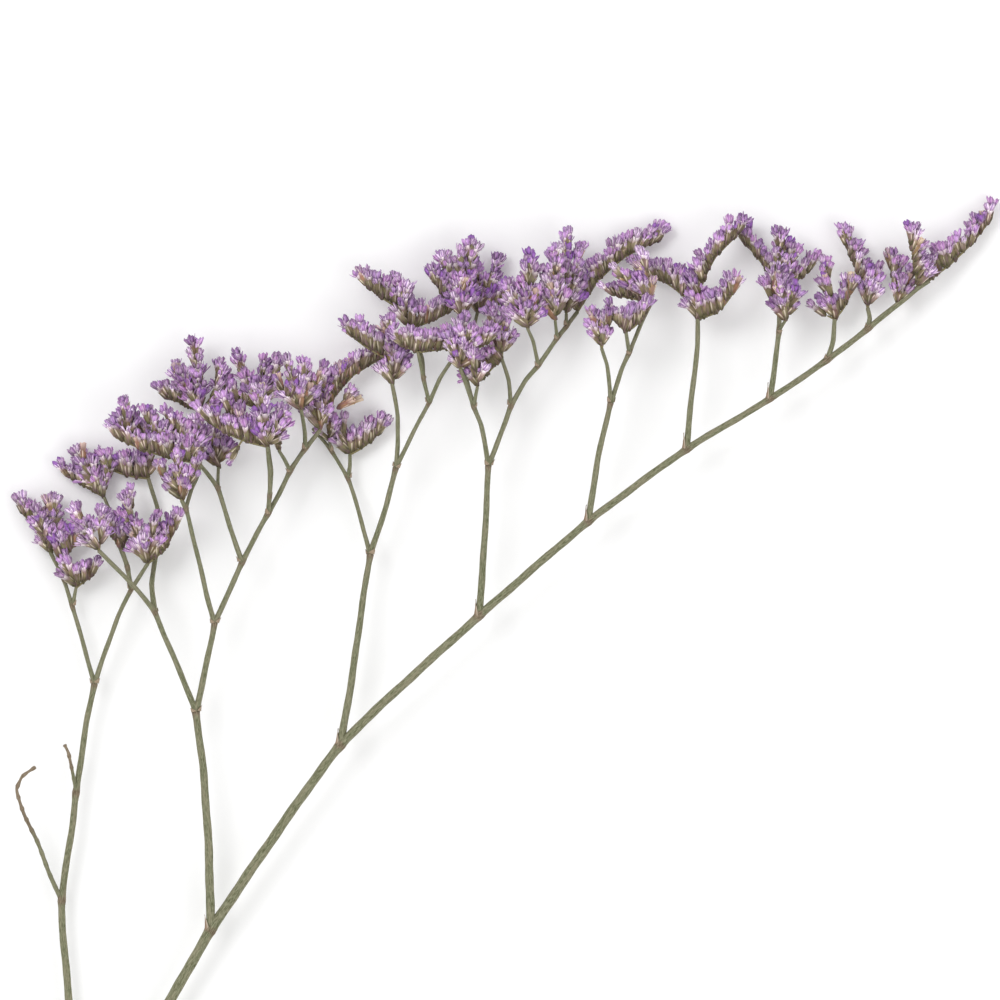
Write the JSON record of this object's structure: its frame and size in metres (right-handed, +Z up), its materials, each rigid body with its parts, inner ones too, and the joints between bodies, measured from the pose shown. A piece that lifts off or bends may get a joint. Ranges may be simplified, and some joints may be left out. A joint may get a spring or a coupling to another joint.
{
  "type": "cut spray of sea lavender statice",
  "caption": "Cut branched spray of dried sea lavender statice: one bowed stem with forked side branches and heads of small papery purple flowers on the ends, lying flat.",
  "frame": {"origin": "bottom centre of the spray's box, on the surface that it lies on", "axes": "+Y from the cut end towards the flowers, +X to the side that the main stem bows towards, +Z up from the surface"},
  "size_m": [0.27, 0.3042, 0.0329],
  "materials": {
    "stem": "dull grey-green dried stem skin, fine lengthwise ridges, brown at the forks",
    "scale_leaf": "thin dry papery scale leaf, tan to brown with pale edges",
    "flower": "papery purple petals over pale ribbed cups and olive-brown bracts, matt"
  },
  "bodies": {
    "root": {"main_stem": "stem", "side_branch_1": "stem", "side_branch_2": "stem", "side_branch_3": "stem", "side_branch_4": "stem", "side_branch_5": "stem", "side_branch_6": "stem", "side_branch_7": "stem", "side_branch_8": "stem", "side_branch_9": "stem", "scale_leaf_1": "scale_leaf", "scale_leaf_2": "scale_leaf", "scale_leaf_3": "scale_leaf", "scale_leaf_4": "scale_leaf", "scale_leaf_5": "scale_leaf", "scale_leaf_6": "scale_leaf", "scale_leaf_7": "scale_leaf", "flower_head_01": "flower", "flower_head_02": "flower", "flower_head_03": "flower", "flower_head_04": "flower", "flower_head_05": "flower", "flower_head_06": "flower", "flower_head_07": "flower", "flower_head_08": "flower", "flower_head_09": "flower", "flower_head_10": "flower", "flower_head_11": "flower", "flower_head_12": "flower", "flower_head_13": "flower", "flower_head_14": "flower", "flower_head_15": "flower", "flower_head_16": "flower", "flower_head_17": "flower", "flower_head_18": "flower", "flower_head_19": "flower", "flower_head_20": "flower", "flower_head_21": "flower", "flower_head_22": "flower", "flower_head_23": "flower", "flower_head_24": "flower", "flower_head_25": "flower", "flower_head_26": "flower", "flower_head_27": "flower", "flower_head_28": "flower", "flower_head_29": "flower", "flower_head_30": "flower", "flower_head_31": "flower", "flower_head_32": "flower", "flower_head_33": "flower", "flower_head_34": "flower", "flower_head_35": "flower", "flower_head_36": "flower", "flower_head_37": "flower", "flower_head_38": "flower", "flower_head_39": "flower", "flower_head_40": "flower", "flower_head_41": "flower", "flower_head_42": "flower", "flower_head_43": "flower"}
  },
  "joints": []
}
